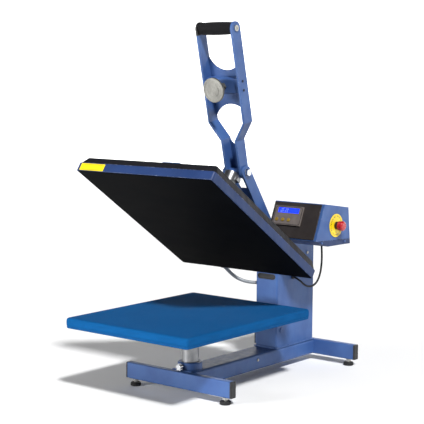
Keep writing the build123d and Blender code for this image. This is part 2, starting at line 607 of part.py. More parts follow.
# ---------------------------------------------------------------- control box
PANEL_RISE = math.dist(BOX_TOP_FRONT, PANEL_FOOT)
PANEL_UP = ((BOX_TOP_FRONT[0] - PANEL_FOOT[0]) / PANEL_RISE, (BOX_TOP_FRONT[1] - PANEL_FOOT[1]) / PANEL_RISE)
PANEL_PLANE = Plane(origin=(0, *PANEL_FOOT), x_dir=(1, 0, 0), z_dir=(0, -PANEL_UP[1], PANEL_UP[0]))


def on_panel(x, s, h):
    """A block on the sloping front: x across, s up the slope, h outwards."""
    return PANEL_PLANE * block(x, s, h)


def shrunk(points, step):
    """The same outline with each side moved inwards by step; its points run anticlockwise."""
    moved = []
    for n, p in enumerate(points):
        before, after = points[n - 1], points[(n + 1) % len(points)]
        a, b = math.dist(p, before), math.dist(p, after)
        u = ((p[0] - before[0]) / a, (p[1] - before[1]) / a)
        v = ((after[0] - p[0]) / b, (after[1] - p[1]) / b)
        n1, n2 = (-u[1], u[0]), (-v[1], v[0])
        scale = step / (1 + n1[0] * n2[0] + n1[1] * n2[1])
        moved.append((p[0] + scale * (n1[0] + n2[0]), p[1] + scale * (n1[1] + n2[1])))
    return moved


BOX_COVER_SIDE = [PANEL_FOOT, SEAM_REAR, BOX_TOP_REAR, BOX_TOP_FRONT]
BOX_TRAY_SIDE = [PANEL_FOOT, BOX_LOW_FRONT, BOX_LOW_REAR, SEAM_REAR]


def box_cover():
    """The folded sheet cover of the control box, open in front and below."""
    cover = profile_yz(BOX_COVER_SIDE, BOX_LEFT, BOX_RIGHT)
    cover = fillet(cover.edges().filter_by(Axis.X).group_by(Axis.Z)[-1], 2.0)
    room = shrunk(BOX_COVER_SIDE, BOX_WALL)
    low_front, low_rear = room[0], room[1]
    room[0], room[1] = (low_front[0], low_front[1] - 2 * BOX_WALL), (low_rear[0], low_rear[1] - 2 * BOX_WALL)
    cover -= profile_yz(room, BOX_LEFT + BOX_WALL, BOX_RIGHT - BOX_WALL)
    cover -= on_panel((BOX_LEFT + 5, BOX_RIGHT - 12), (8, PANEL_RISE - 8), (-5, 5))
    cover -= rod_x(8.0 + HOLE_FIT, BOX_RIGHT - 3, BOX_RIGHT + 1, STOP_Y, STOP_Z)
    return cover - rear_cutouts(0.0)


def box_tray():
    """The folded base tray of the control box."""
    tray = profile_yz(BOX_TRAY_SIDE, BOX_LEFT, BOX_RIGHT)
    room = shrunk(BOX_TRAY_SIDE, BOX_WALL)
    room[0], room[3] = (room[0][0], room[0][1] + 3 * BOX_WALL), (room[3][0], room[3][1] + 3 * BOX_WALL)
    tray -= profile_yz(room, BOX_LEFT + BOX_WALL, BOX_RIGHT - BOX_WALL)
    return tray - rod_z(4.0, 340, 380, *CABLE_EXIT)


CABLE_EXIT = (132.0, 400.0)


def front_panel():
    """The black front plate of the control box."""
    panel = on_panel((BOX_LEFT + 1, BOX_RIGHT - 8), (3, PANEL_RISE - 3), (0, PANEL_THICK))
    return panel - on_panel(BEZEL_ROOM_X, BEZEL_ROOM_S, (-1, PANEL_THICK + 1))


BEZEL_X, BEZEL_S = (50.0, 140.0), (36.0, 89.0)
BEZEL_ROOM_X, BEZEL_ROOM_S = (56.0, 134.0), (42.0, 86.0)
LCD_X, LCD_S = (60.5, 128.5), (69.5, 84.0)


def controller_bezel():
    """The face of the controller module, with a window and three key holes."""
    bezel = on_panel(BEZEL_X, BEZEL_S, (PANEL_THICK, PANEL_THICK + BEZEL_THICK))
    bezel += on_panel((BEZEL_ROOM_X[0] + 1, BEZEL_ROOM_X[1] - 1), (BEZEL_ROOM_S[0] + 1, BEZEL_ROOM_S[1] - 1),
                      (-20, PANEL_THICK))
    bezel -= on_panel(LCD_X, LCD_S, (PANEL_THICK + 1, PANEL_THICK + BEZEL_THICK + 1))
    for x in KEY_X:
        bezel -= PANEL_PLANE * rod_z(KEY_R + HOLE_FIT, -6, PANEL_THICK + BEZEL_THICK + 1, x, KEY_S)
    return bezel


def lcd_window():
    """The clear window of the display, set in the bezel."""
    return on_panel(LCD_X, LCD_S, (PANEL_THICK + 1, PANEL_THICK + BEZEL_THICK - 0.6))


def key(x):
    """A round push key, standing proud of the bezel by its travel and a little more."""
    cap = rod_z(KEY_R, -3, PANEL_THICK + BEZEL_THICK + 1.6, x, KEY_S)
    cap = fillet(cap.edges().filter_by(GeomType.CIRCLE).sort_by(Axis.Z)[-1], 0.8)
    return PANEL_PLANE * cap


def box_screws():
    """Two small screws in the lip of the control box's tray."""
    heads = []
    for y in (300.0, 410.0):
        z = PANEL_FOOT[1] + (y - PANEL_FOOT[0]) * (SEAM_REAR[1] - PANEL_FOOT[1]) / (SEAM_REAR[0] - PANEL_FOOT[0]) - 6
        heads.append(rod_x(3.2, BOX_RIGHT, BOX_RIGHT + 1.8, y, z))
    return heads


def stop_plate():
    """The yellow disc of the emergency stop, and the dark barrel with its ring nut."""
    plate = rod_x(STOP_PLATE_R, BOX_RIGHT, BOX_RIGHT + 1.5, STOP_Y, STOP_Z)
    plate -= rod_x(8.0, BOX_RIGHT - 1, BOX_RIGHT + 3, STOP_Y, STOP_Z)
    barrel = rod_x(8.0, BOX_RIGHT - 32, BOX_RIGHT + 1.5, STOP_Y, STOP_Z)
    barrel += rod_x(10.5, BOX_RIGHT + 1.5, BOX_RIGHT + 6.0, STOP_Y, STOP_Z)
    barrel -= rod_x(5.0 + RUN_FIT, BOX_RIGHT - 26, BOX_RIGHT + 7, STOP_Y, STOP_Z)
    return Compound([plate, barrel])


def stop_stem():
    """The plunger of the emergency stop."""
    return rod_x(5.0, BOX_RIGHT - 20, BOX_RIGHT + 16.0, STOP_Y, STOP_Z)


def stop_head():
    """The red mushroom head, which turns on the plunger to release it."""
    head = rod_x(STOP_HEAD_R, BOX_RIGHT + 11, BOX_RIGHT + 26.5, STOP_Y, STOP_Z)
    ring = head.edges().filter_by(GeomType.CIRCLE)
    head = fillet(ring.sort_by(Axis.X)[-1], 5.0)
    head = fillet(head.edges().filter_by(GeomType.CIRCLE).sort_by(Axis.X)[0], 1.0)
    return head - rod_x(5.0 + RUN_FIT, BOX_RIGHT + 10, BOX_RIGHT + 16.05, STOP_Y, STOP_Z)


REAR_RISE = math.dist(BOX_TOP_REAR, SEAM_REAR)
REAR_TILT = math.degrees(math.atan2(SEAM_REAR[0] - BOX_TOP_REAR[0], BOX_TOP_REAR[1] - SEAM_REAR[1]))
INLET_X, SWITCH_X, REAR_S = 84.0, 148.0, 45.0


def on_rear(shape):
    """Pieces on the back of the box are drawn with +Y outwards and z up from the seam."""
    return Pos(0, *SEAM_REAR) * Rot(REAR_TILT, 0, 0) * shape


def rear_cutouts(grow):
    inlet = block((INLET_X - 14 - grow, INLET_X + 14 + grow), (-20, 5), (REAR_S - 10 - grow, REAR_S + 10 + grow))
    switch = block((SWITCH_X - 10 - grow, SWITCH_X + 10 + grow), (-20, 5),
                   (REAR_S - 14 - grow, REAR_S + 14 + grow))
    return on_rear(inlet + switch)


def power_inlet():
    """The three-pin appliance inlet in the back of the box, and the frame of the power switch."""
    body = block((INLET_X - 14, INLET_X + 14), (-18, 0), (REAR_S - 10, REAR_S + 10))
    body += block((INLET_X - 25, INLET_X + 25), (0, 3), (REAR_S - 13, REAR_S + 13))
    body -= block((INLET_X - 12, INLET_X + 12), (-15, 4), (REAR_S - 8, REAR_S + 8))
    for x, z in ((-7, -2), (7, -2), (0, 3)):
        body += block((INLET_X + x - 1, INLET_X + x + 1), (-15, -2), (REAR_S + z - 2.2, REAR_S + z + 2.2))

    frame = block((SWITCH_X - 10, SWITCH_X + 10), (-16, 0), (REAR_S - 14, REAR_S + 14))
    frame += block((SWITCH_X - 12, SWITCH_X + 12), (0, 2), (REAR_S - 16, REAR_S + 16))
    frame -= block((SWITCH_X - 8, SWITCH_X + 8), (-12, 3), (REAR_S - 12, REAR_S + 12))
    return Compound([on_rear(body), on_rear(frame)])


ROCKER_ANGLE = 10.0


def power_rocker():
    """The rocker of the power switch, lying at its off position."""
    rocker = rod_x(10.6, SWITCH_X - 7.5, SWITCH_X + 7.5) & block((0, 300), (-4.5, 4.8), (-12, 12))
    rocker = Rot(ROCKER_ANGLE, 0, 0) * rocker
    return on_rear(Pos(0, 0, REAR_S) * rocker)


# ---------------------------------------------------------------- leads
CABLE_ENTRY = (41.5, 400.0, 254.5)
CABLE_ROUTE = [(132.0, 400.0, 351.0), (133.5, 400.0, 329.3), (133.5, 400.0, 307.6), (131.5, 400.0, 286.0),
               (126.6, 400.0, 264.8), (117.0, 400.0, 245.5), (99.7, 400.0, 232.6), (78.2, 400.0, 233.8),
               (61.2, 400.0, 247.4), CABLE_ENTRY]
CONDUIT_FROM = (-90.0, PLATEN_LENGTH / 2 + 12.0, PLATEN_FACE + 12.0)
CONDUIT_TO, CONDUIT_ANGLE = (-45.3, 344.0, 236.0), 42.0


def conduit_route():
    """The conduit's points from the upper platen's back to the column's left side."""
    start = turned(CONDUIT_FROM[1:], HINGE, -OPEN_ANGLE)
    return [(CONDUIT_FROM[0], *start), (-90.0, 264.5, 279.9), (-88.4, 281.2, 265.5), (-83.4, 297.5, 252.8),
            (-73.8, 313.7, 243.0), (-60.5, 329.1, 237.4), CONDUIT_TO]


def soft_tube(points, radius):
    """A tube along straight runs joined by arcs as large as the runs allow."""
    radii = []
    for before, here, after in zip(points, points[1:], points[2:]):
        a, b = Vector(*here) - Vector(*before), Vector(*after) - Vector(*here)
        half_turn = math.radians(a.get_angle(b)) / 2
        radii.append(0.45 * min(a.length, b.length) / math.tan(half_turn))
    path = FilletPolyline(*points, radius=radii)
    first, second = Vector(*points[0]), Vector(*points[1])
    section = Plane(origin=first, z_dir=second - first) * Circle(radius)
    tube = sweep(section, path)
    print(f"tube r{radius}: length {path.length:.1f}, bends", [round(r) for r in radii],
          f"volume ratio {tube.volume / (math.pi * radius ** 2 * path.length):.4f}")
    return tube


def lead_glands():
    """Glands on the frame: the cable's under the tray and in the column, and the conduit's."""
    top = rod_z(6.5, CABLE_ROUTE[0][2] + 0.3, 359.3, *CABLE_EXIT) + rod_z(3.9, 355, 364, *CABLE_EXIT)
    y, z = CABLE_ENTRY[1:]
    side = rod_x(6.5, COLUMN_HALF, CABLE_ENTRY[0] - 1.0, y, z)
    ferrule = Pos(*CONDUIT_TO) * Rot(0, 0, CONDUIT_ANGLE - 90) * rod_y(8.0, 0.5, 30)
    ferrule -= block((-COLUMN_HALF, COLUMN_HALF), (300, 400), (200, 270))
    return Compound([top, side, ferrule])


def platen_ferrule():
    """The metal ferrule of the conduit on the back of the upper platen."""
    x, y, z = CONDUIT_FROM
    return opened(rod_y(8.0, PLATEN_LENGTH / 2, y - 0.3, x, z))


# ---------------------------------------------------------------- write the parts
PARTS = {
    "front_foot_tube": cross_foot(FRONT_FOOT_Y),
    "rear_foot_tube": cross_foot(REAR_FOOT_Y),
    "foot_end_caps": foot_end_caps(),
    "foot_front_left": levelling_foot(-LEVEL_X, FRONT_FOOT_Y),
    "foot_front_right": levelling_foot(LEVEL_X, FRONT_FOOT_Y),
    "foot_rear_left": levelling_foot(-LEVEL_X, REAR_FOOT_Y),
    "foot_rear_right": levelling_foot(LEVEL_X, REAR_FOOT_Y),
    "spine_tube": spine_tube(),
    "post_socket": post_socket(),
    "clamp_screw": clamp_screw(),
    "pad_post": pad_post(),
    "pad_plate": pad_plate(),
    "pad_cover": pad_cover(),
    "column_shell": column_shell(),
    "slot_insert": slot_insert(),
    "hinge_pins": hinge_pins(),
    "box_bracket": box_bracket(),
    "frame_screws": frame_screws(),
    "arm_plates": arm_plates(),
    "arm_web": arm_web(),
    "hinge_bushes": hinge_bushes(),
    "pivot_bolt": pivot_bolt(),
    "hanger_post": hanger_post(),
    "heating_plate": heating_plate(),
    "insulation_board": insulation_board(),
    "platen_skirt": platen_skirt(),
    "top_cover": top_cover(),
    "cover_screws": cover_screws(),
    "magnet_bracket": magnet_bracket(),
    "holding_magnet": holding_magnet(),
    "handle_left_bar": handle_bar(-1),
    "handle_right_bar": handle_bar(1),
    "cross_plate": cross_plate(),
    "handle_web": handle_web(),
    "cross_trough": cross_trough(),
    "grip_rod": grip_rod(),
    "grip_foam": grip_foam(),
    "handle_screws": handle_screws(),
    "toggle_foot": toggle_foot(),
    "catch_disc": catch_disc(),
    "toggle_link": toggle_link(),
    "gas_spring_tube": gas_spring_tube(),
    "gas_spring_rod": gas_spring_rod(),
    "box_cover": box_cover(),
    "box_tray": box_tray(),
    "front_panel": front_panel(),
    "controller_bezel": controller_bezel(),
    "lcd_window": lcd_window(),
    "key_left": key(KEY_X[0]),
    "key_middle": key(KEY_X[1]),
    "key_right": key(KEY_X[2]),
    "stop_plate": stop_plate(),
    "stop_stem": stop_stem(),
    "stop_head": stop_head(),
    "power_inlet": power_inlet(),
    "power_rocker": power_rocker(),
    "lead_glands": lead_glands(),
    "control_cable": soft_tube(CABLE_ROUTE, CABLE_R),
    "platen_ferrule": platen_ferrule(),
    "conduit": soft_tube(conduit_route(), CONDUIT_R),
}

if __name__ == "__main__":
    os.makedirs("parts", exist_ok=True)
    shift = Pos(-ORIGIN[0], -ORIGIN[1], -ORIGIN[2])
    for name, shape in PARTS.items():
        export_step(shift * shape, f"parts/{name}.step")
    box = Compound([shift * shape for shape in PARTS.values()]).bounding_box()
    print("outer box", [round(v, 3) for v in (*box.min, *box.max)])
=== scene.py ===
import bpy
import bmesh
import math
from mathutils import Matrix, Vector


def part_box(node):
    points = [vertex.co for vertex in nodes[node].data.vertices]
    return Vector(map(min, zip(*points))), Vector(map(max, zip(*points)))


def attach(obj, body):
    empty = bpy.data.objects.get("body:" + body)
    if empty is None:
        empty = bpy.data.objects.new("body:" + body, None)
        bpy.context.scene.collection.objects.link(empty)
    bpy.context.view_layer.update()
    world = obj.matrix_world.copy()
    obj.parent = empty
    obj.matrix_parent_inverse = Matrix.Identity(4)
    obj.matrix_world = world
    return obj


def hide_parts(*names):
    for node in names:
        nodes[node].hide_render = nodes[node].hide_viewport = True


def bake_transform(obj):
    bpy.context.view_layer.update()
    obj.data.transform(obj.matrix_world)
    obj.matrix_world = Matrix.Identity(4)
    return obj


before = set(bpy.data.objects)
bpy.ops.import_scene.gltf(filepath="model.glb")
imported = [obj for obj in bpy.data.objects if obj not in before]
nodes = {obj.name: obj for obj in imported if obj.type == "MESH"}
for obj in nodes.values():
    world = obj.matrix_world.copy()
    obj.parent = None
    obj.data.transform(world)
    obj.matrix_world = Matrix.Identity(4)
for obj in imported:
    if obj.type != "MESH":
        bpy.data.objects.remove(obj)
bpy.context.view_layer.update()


# ---- Camera: a long lens at the front right, a little above the machine. It is turned to the
# left, tilted slightly down and rolled by a third of a degree.
def at(x, y, z):
    """A point of the machine's own drawing, in mm from the pad's post, in the row frame."""
    return Vector(((x - 3.0) / 1000, (y - 140.8) / 1000, z / 1000))


def turned(degrees, axis):
    return Matrix.Rotation(math.radians(degrees), 4, axis)


heading, dip, roll = 38.889, 6.228, 0.324
camera = bpy.data.objects.new("camera", bpy.data.cameras.new("camera"))
camera.data.lens, camera.data.sensor_width = 107.2, 36.0
camera.data.clip_end = 50.0
standing = Matrix.Translation(at(2043.55, -2447.12, 813.55))
camera.matrix_world = standing @ turned(heading, "Z") @ turned(90 - dip, "X") @ turned(roll, "Z")
bpy.context.scene.collection.objects.link(camera)
bpy.context.scene.camera = camera


# ---- Studio: a pale floor and a white backdrop, a low soft fill from the front left, and a harder
# key from the right that throws the shadow to the left.
def colour(code):
    """A shader colour from a hex sRGB code."""
    parts = [int(code[i:i + 2], 16) / 255 for i in (1, 3, 5)]
    return [c / 12.92 if c <= 0.04045 else ((c + 0.055) / 1.055) ** 2.4 for c in parts] + [1.0]


def add(tree, kind, settings=None, **inputs):
    """One shader node; an input takes a value or another node's output socket."""
    made = tree.nodes.new("ShaderNode" + kind)
    for key, value in (settings or {}).items():
        setattr(made, key, value)
    for key, value in inputs.items():
        numbered = key[0] == "i" and key[1:].isdigit()
        socket = made.inputs[int(key[1:]) if numbered else key.replace("_", " ")]
        if isinstance(value, bpy.types.NodeSocket):
            tree.links.new(value, socket)
        else:
            socket.default_value = value
    return made


def in_mm(tree):
    """Where a point of the surface is, in millimetres."""
    place = add(tree, "TexCoord").outputs["Object"]
    return add(tree, "VectorMath", {"operation": "SCALE"}, i0=place, i3=1000.0).outputs[0]


def start(name, **shader):
    """A material with one Principled shader, and the tools to draw on it in millimetres."""
    made = bpy.data.materials.new(name)
    made.use_nodes = True
    tree = made.node_tree
    bsdf = tree.nodes["Principled BSDF"]
    for key, value in shader.items():
        bsdf.inputs[key.replace("_", " ")].default_value = value
    return made, tree, bsdf, in_mm(tree)


def grain(tree, mm, size, detail=3.0, stretch=(1.0, 1.0, 1.0)):
    """Noise whose blotches are about size millimetres across."""
    where = add(tree, "Mapping", i0=mm, i3=stretch).outputs[0]
    return add(tree, "TexNoise", i0=where, Scale=1.0 / size, Detail=detail).outputs[0]


def between(tree, value, low, high, a, b):
    """Spreads a value's low to high range over a to b."""
    return add(tree, "MapRange", i0=value, i1=low, i2=high, i3=a, i4=b).outputs[0]


def sheet_of_paper(name, corners, glow):
    """A pale stage surface that can also glow, so that it stays white in the picture."""
    mesh = bpy.data.meshes.new(name)
    mesh.from_pydata(corners, [], [(0, 1, 2, 3)])
    made = bpy.data.objects.new(name, mesh)
    bpy.context.scene.collection.objects.link(made)
    paper, tree, bsdf, mm = start(name + "_paper", Base_Color=colour("#f6f6f6"),
                                  Emission_Color=colour("#ffffff"), Emission_Strength=glow)
    tree.links.new(between(tree, grain(tree, mm, 200.0), 0.3, 0.7, 0.78, 0.85), bsdf.inputs["Roughness"])
    mesh.materials.append(paper)


def lamp(name, kind, place, target, size, power):
    light = bpy.data.lights.new(name, kind)
    light.energy = power
    setattr(light, "angle" if kind == "SUN" else "size", size)
    made = bpy.data.objects.new(name, light)
    made.location = place
    made.rotation_euler = (Vector(target) - Vector(place)).to_track_quat("-Z", "Y").to_euler()
    bpy.context.scene.collection.objects.link(made)


sheet_of_paper("floor", [(-9, -6, 0), (9, -6, 0), (9, 9, 0), (-9, 9, 0)], 0.02)
sheet_of_paper("backdrop", [(-9, 6, -0.5), (9, 6, -0.5), (9, 6, 2.6), (-9, 6, 2.6)], 1.0)
world = bpy.data.worlds.new("studio")
world.use_nodes = True
sky = world.node_tree.nodes["Background"].inputs
sky["Color"].default_value = (1, 1, 1, 1)
sky["Strength"].default_value = 0.09
bpy.context.scene.world = world
bpy.context.scene.view_settings.view_transform = "Standard"
lamp("fill", "AREA", (-1.3, -3.3, 0.8), (0, 0, 0.4), 1.2, 88.0)
lamp("key", "SUN", (2.1, -1.65, 2.65), (0, 0, 0), 0.10, 3.9)


# ---- Control cable: a thin black jacketed lead from under the control box, hanging in a loose
# loop and going back into the column's right side. It is fixed at both ends to the frame.
def mixed(tree, share, a, b):
    return add(tree, "Mix", {"data_type": "RGBA"}, i0=share, i6=a, i7=b).outputs[2]


def rounded_edges(tree, radius_mm):
    """A normal that reads sharp edges as rounded."""
    return add(tree, "Bevel", {"samples": 4}, Radius=radius_mm / 1000).outputs[0]


def wear(tree, bsdf, depth, mm, size, round_mm=0.0):
    """Bump from noise on the shader, over edges rounded by round_mm."""
    rounding = {"Normal": rounded_edges(tree, round_mm)} if round_mm else {}
    bump = add(tree, "Bump", Distance=depth / 1000, Strength=1.0, Height=grain(tree, mm, size), **rounding)
    tree.links.new(bump.outputs[0], bsdf.inputs["Normal"])


def moulded(name, base, light, roughness=0.5, texture=0.06, size=0.8, round_mm=0.5, **shader):
    """Moulded plastic or rubber with a fine spark-eroded texture."""
    made, tree, bsdf, mm = start(name, **shader)
    spots = between(tree, grain(tree, mm, 18.0, 5.0), 0.35, 0.7, 0.0, 1.0)
    tree.links.new(mixed(tree, spots, colour(base), colour(light)), bsdf.inputs["Base Color"])
    dull = between(tree, grain(tree, mm, 6.0), 0.3, 0.7, roughness - 0.07, roughness + 0.1)
    tree.links.new(dull, bsdf.inputs["Roughness"])
    wear(tree, bsdf, texture, mm, size, round_mm)
    return made


def line_of(name, points):
    """A smooth open spline through the run of a cord."""
    curve = bpy.data.curves.new(name, "CURVE")
    curve.dimensions = "3D"
    curve.resolution_u = 12
    spline = curve.splines.new("NURBS")
    spline.points.add(len(points) - 1)
    for knot, p in zip(spline.points, points):
        knot.co = (*p, 1.0)
    spline.order_u = 3
    spline.use_endpoint_u = True
    return curve


jacket = moulded("cable_jacket", "#0f0f11", "#1b1b1e", 0.42, 0.02, 0.5, 0.0)
loop = [(132.0, 351.0), (133.5, 329.3), (133.5, 307.6), (131.5, 286.0), (126.6, 264.8),
        (117.0, 245.5), (99.7, 232.6), (78.2, 233.8), (61.2, 247.4), (41.5, 254.5)]
route = [at(x, 400, z) for x, z in loop]
cable_line = line_of("control_lead", route)
cable_line.bevel_depth, cable_line.bevel_resolution = 0.00275, 5
cable_line.use_fill_caps = True
cable_line.materials.append(jacket)
cable = bpy.data.objects.new("control_lead", cable_line)
bpy.context.scene.collection.objects.link(cable)
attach(cable, "frame")
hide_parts("control_cable")


# ---- Conduit: grey corrugated tube that carries the heater's wires from the back of the upper
# platen to the column's left side.
def spine_points(name, points):
    """Points along a cord's smooth spline, and the spline's own mesh is thrown away."""
    holder = bpy.data.objects.new(name, line_of(name, points))
    mesh = bpy.data.meshes.new_from_object(holder)
    found = [v.co.copy() for v in mesh.vertices]
    bpy.data.objects.remove(holder)
    bpy.data.meshes.remove(mesh)
    return found


def resample(points, step):
    """Evenly spaced points along a line of points."""
    reach = [0.0]
    for a, b in zip(points, points[1:]):
        reach.append(reach[-1] + (b - a).length)
    count = max(2, round(reach[-1] / step))
    out, k = [], 0
    for n in range(count + 1):
        want = reach[-1] * n / count
        while k < len(points) - 2 and reach[k + 1] < want:
            k += 1
        part = (want - reach[k]) / max(reach[k + 1] - reach[k], 1e-9)
        out.append(points[k].lerp(points[k + 1], min(max(part, 0.0), 1.0)))
    return out


def tube_rings(points, radius_at, sides=20):
    """Rings of points round a line, each as wide as radius_at says for its number."""
    rings, side = [], Vector((0.0, 0.0, 1.0))
    for n, p in enumerate(points):
        ahead = (points[min(n + 1, len(points) - 1)] - points[max(n - 1, 0)]).normalized()
        side = (side - ahead * side.dot(ahead)).normalized()
        up = ahead.cross(side)
        r = radius_at(n)
        rings.append([p + r * (math.cos(a) * side + math.sin(a) * up)
                      for a in (2 * math.pi * k / sides for k in range(sides))])
    return rings


def loft(rings):
    """Vertices and faces of a closed skin over rings with equal counts of points."""
    count = len(rings[0])
    verts = [p for ring in rings for p in ring]
    faces = []
    for r in range(len(rings) - 1):
        for i in range(count):
            j = (i + 1) % count
            faces.append((r * count + i, r * count + j, (r + 1) * count + j, (r + 1) * count + i))
    faces.append(tuple(range(count))[::-1])
    faces.append(tuple(range((len(rings) - 1) * count, len(rings) * count)))
    return verts, faces


def piece(name, verts, faces, material, body, slot, smooth=True):
    """A mesh piece in the row frame, in metres, riding on a body if one is named."""
    mesh = bpy.data.meshes.new(name)
    mesh.from_pydata([tuple(v) for v in verts], [], faces)
    shape = bmesh.new()
    shape.from_mesh(mesh)
    bmesh.ops.recalc_face_normals(shape, faces=shape.faces)
    shape.to_mesh(mesh)
    shape.free()
    for face in mesh.polygons:
        face.use_smooth = smooth
    made = bpy.data.objects.new(name, mesh)
    bpy.context.scene.collection.objects.link(made)
    mesh.materials.append(material)
    if body:
        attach(made, body)
    return made


def ribbed(n):
    """The conduit's radius in metres, with one rib every five rings."""
    return 0.0050 - 0.0007 * (0.5 + 0.5 * math.cos(2 * math.pi * n / 5))


conduit_grey = moulded("conduit_grey", "#8d9196", "#a2a6aa", 0.34, 0.02, 0.6, 0.0, Metallic=0.4)
conduit_route = [at(*p) for p in [(-90.0, 247.89, 291.05), (-90.0, 264.5, 279.9), (-88.4, 281.2, 265.5),
                                  (-83.4, 297.5, 252.8), (-73.8, 313.7, 243.0), (-60.5, 329.1, 237.4),
                                  (-45.3, 344.0, 236.0)]]
conduit_line = resample(spine_points("conduit_line", conduit_route), 0.0006)
conduit = piece("heater_conduit", *loft(tube_rings(conduit_line, ribbed)), conduit_grey, None, "conduit_grey")
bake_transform(conduit)
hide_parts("conduit")

# ---- Lower platen's pad: silicone foam in a woven blue cover, slightly crowned, its side wall
# pulled in under a stitched seam near the bottom edge.
pad_cloth, tree, bsdf, mm = start("pad_cloth", Specular_IOR_Level=0.04)
warp, weft, rise = [add(tree, "TexWave", {"wave_type": "BANDS", "bands_direction": way}, i0=mm,
                        Scale=0.42).outputs[1] for way in "XYZ"]
over = add(tree, "Math", {"operation": "MAXIMUM"}, i0=warp, i1=weft).outputs[0]
rise = between(tree, rise, 0.0, 1.0, 0.7, 1.0)
woven = add(tree, "Math", {"operation": "MULTIPLY"}, i0=over, i1=rise).outputs[0]
fuzz = grain(tree, mm, 1.1, 6.0)
shade = mixed(tree, between(tree, fuzz, 0.36, 0.64, 0.0, 1.0), colour("#0a447a"), colour("#14609c"))
patches = between(tree, grain(tree, mm, 90.0, 4.0), 0.35, 0.7, 0.0, 0.35)
tree.links.new(mixed(tree, patches, shade, colour("#0d4a80")), bsdf.inputs["Base Color"])
tree.links.new(between(tree, fuzz, 0.3, 0.7, 0.78, 0.95), bsdf.inputs["Roughness"])
height = add(tree, "Math", {"operation": "ADD"}, i0=woven, i1=fuzz).outputs[0]
tree.links.new(add(tree, "Bump", Distance=0.00035, Height=height).outputs[0], bsdf.inputs["Normal"])


def rounded_outline(half_x, half_y, radius, z, centre, per_corner=10, per_side=24):
    """A rectangle's outline with round corners; the sides carry points too."""
    inner_x, inner_y = half_x - radius, half_y - radius
    out = []
    for k, (sx, sy) in enumerate(((1, 1), (-1, 1), (-1, -1), (1, -1))):
        for n in range(per_corner + 1):
            a = math.radians(90 * k + 90 * n / per_corner)
            out.append(Vector((centre[0] + sx * inner_x + radius * math.cos(a),
                               centre[1] + sy * inner_y + radius * math.sin(a), z)))
        nx, ny = ((-1, 1), (-1, -1), (1, -1), (1, 1))[k]
        a = math.radians(90 * k + 90)
        corner = Vector((centre[0] + nx * inner_x + radius * math.cos(a),
                         centre[1] + ny * inner_y + radius * math.sin(a), z))
        last = out[-1].copy()
        out += [last.lerp(corner, (n + 1) / (per_side + 1)) for n in range(per_side)]
    return out


low, high = (Vector(v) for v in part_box("pad_cover"))
middle = ((low.x + high.x) / 2, (low.y + high.y) / 2)
half = ((high.x - low.x) / 2, (high.y - low.y) / 2)
tall = high.z - low.z
# How far the skin is inside the box, and how high, in millimetres: tuck, seam, wall, edge, crown.
profile = [(7.0, 0.0), (3.0, 0.0), (1.2, 1.0), (0.5, 3.0),
           (0.9, 4.4), (1.3, 5.0), (0.7, 5.8),
           (0.1, 9.0), (0.0, 14.0), (0.1, 19.0), (0.5, 22.0),
           (1.3, 24.3), (2.8, 25.8), (5.0, 26.6), (9.0, 26.9),
           (20.0, 26.95), (45.0, 26.9), (80.0, 26.95), (120.0, 27.0), (160.0, 27.0), (190.0, 27.0)]
pad_rings = []
for inset, z in profile:
    step = inset / 1000
    pad_rings.append(rounded_outline(half[0] - step, half[1] - step, max(0.008 - step * 0.25, 0.003),
                                     low.z + z / 27.0 * tall, middle))
for ring in pad_rings[8:12]:
    for p in ring:
        p += 0.0002 * Vector((math.sin(70 * p.y), math.sin(61 * p.x), 0))
pad = piece("pad_cover_cloth", *loft(pad_rings), pad_cloth, "lower_platen", "pad_cloth")
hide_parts("pad_cover")

thread = moulded("pad_thread", "#0f3e74", "#1f5a98", 0.8, 0.02, 0.4, 0.0)
seam_in, seam_up, stitch_pitch = 0.0009, 0.0050, 0.0042
seam = rounded_outline(half[0] - seam_in, half[1] - seam_in, 0.0076, low.z + seam_up, middle, 10, 60)
stitch_verts, stitch_faces = [], []
closed_line = resample(seam + [seam[0]], stitch_pitch)
for a, b in zip(closed_line, closed_line[1:]):
    stitch = [a.lerp(b, share) for share in (0.12, 0.5, 0.88)]
    stitch[1] = stitch[1] + ((a + b) / 2 - Vector((*middle, a.z))).normalized() * 0.0002
    verts, faces = loft(tube_rings(stitch, lambda n: (0.0002, 0.0004, 0.0002)[n], 6))
    stitch_faces += [tuple(i + len(stitch_verts) for i in f) for f in faces]
    stitch_verts += verts
piece("pad_stitches", stitch_verts, stitch_faces, thread, "lower_platen", "pad_cloth")


